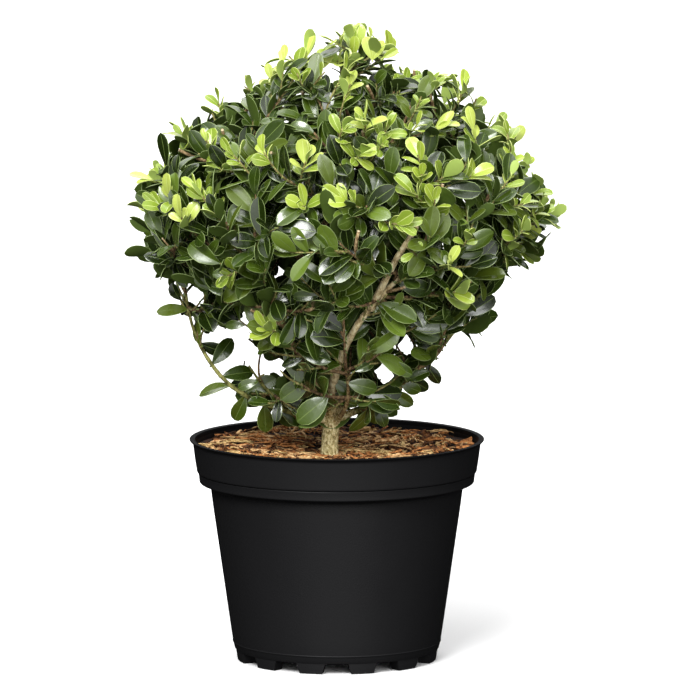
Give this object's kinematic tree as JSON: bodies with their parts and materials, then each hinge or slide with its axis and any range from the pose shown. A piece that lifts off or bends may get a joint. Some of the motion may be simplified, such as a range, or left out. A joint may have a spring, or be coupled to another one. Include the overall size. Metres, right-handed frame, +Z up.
{
  "type": "japanese holly shrub",
  "caption": "Small evergreen holly shrub with a loose ball of oval leaves on a short forked trunk, standing in a round black nursery pot of bark mulch.",
  "frame": {"origin": "middle of the box round the whole plant and pot, at the surface that the pot stands on, which is the pot's axis to within 3 mm", "axes": "+Z up along the pot's axis, -Y towards the front in the picture, +X towards its right"},
  "size_m": [0.281, 0.2779, 0.4155],
  "materials": {
    "pot_plastic": "satin black",
    "bark_mulch": "rough shredded bark",
    "bark": "rough tan bark",
    "leaf": "glossy green leaf"
  },
  "bodies": {
    "root": {"pot": "pot_plastic", "soil": "bark_mulch", "trunk": "bark", "bough_top": "bark", "bough_front_right": "bark", "bough_left_low": "bark", "bough_left_high": "bark", "bough_right": "bark", "bough_back_left": "bark", "bough_back_right": "bark", "bough_front_left": "bark", "bough_upper_left": "bark", "bough_upper_front": "bark", "bough_upper_right": "bark", "bough_upper_back": "bark", "bough_low_left": "bark", "bough_low_front": "bark", "bough_low_right": "bark", "bough_low_back": "bark", "leaves_top": "leaf", "leaves_front_right": "leaf", "leaves_left": "leaf", "leaves_right": "leaf", "leaves_back_left": "leaf", "leaves_back_right": "leaf", "leaves_front_left": "leaf", "leaves_upper_left": "leaf", "leaves_upper_front": "leaf", "leaves_upper_right": "leaf", "leaves_upper_back": "leaf", "leaves_low_left": "leaf", "leaves_low_front": "leaf", "leaves_low_right": "leaf", "leaves_low_back": "leaf"}
  },
  "joints": []
}
